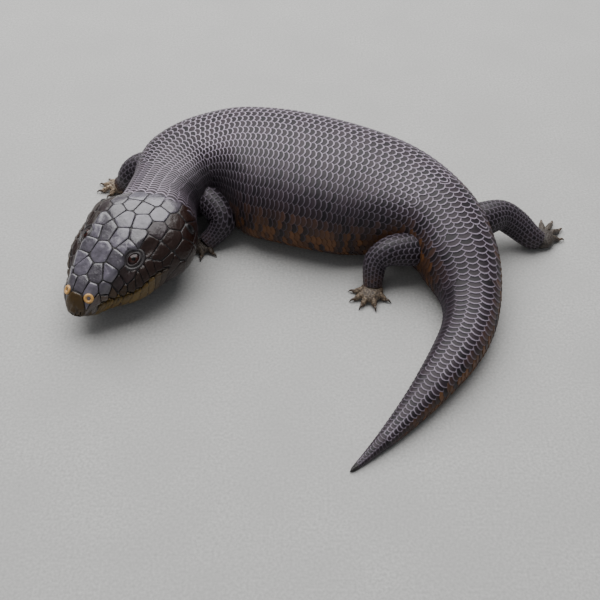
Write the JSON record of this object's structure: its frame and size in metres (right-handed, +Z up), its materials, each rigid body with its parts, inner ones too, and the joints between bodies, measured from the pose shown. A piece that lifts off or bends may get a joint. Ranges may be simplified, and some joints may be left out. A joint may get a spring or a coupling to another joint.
{
  "type": "blue tongued skink",
  "caption": "Still, life-size blue tongued skink lying curved on the floor, head turned back beside the body, tail swept round.",
  "frame": {"origin": "middle of the footprint, on the floor that the belly, tail and feet rest on", "axes": "+Z up; +X from the snout's side towards the right hind foot; +Y towards the outer curve of the back"},
  "size_m": [0.2584, 0.2194, 0.0481],
  "materials": {
    "head_shields": "smooth horny head shields, near black with a blue-grey sheen",
    "body_scales": "smooth overlapping scales, charcoal brown with pale lilac-grey rims",
    "leg_scales": "small dark scales",
    "toe_scales": "small tan scales with dark horny claws",
    "eye": "dark red-brown iris under a clear wet cornea"
  },
  "bodies": {
    "root": {"head": "head_shields", "eye_left": "eye", "eye_right": "eye", "neck": "body_scales", "torso_front": "body_scales", "torso_rear": "body_scales", "tail_base": "body_scales", "tail_middle": "body_scales", "tail_tip": "body_scales", "front_leg_left_upper": "leg_scales", "front_leg_left_lower": "leg_scales", "front_leg_left_foot": "toe_scales", "front_leg_right_upper": "leg_scales", "front_leg_right_lower": "leg_scales", "front_leg_right_foot": "toe_scales", "hind_leg_left_upper": "leg_scales", "hind_leg_left_lower": "leg_scales", "hind_leg_left_foot": "toe_scales", "hind_leg_right_upper": "leg_scales", "hind_leg_right_lower": "leg_scales", "hind_leg_right_foot": "toe_scales"}
  },
  "joints": []
}
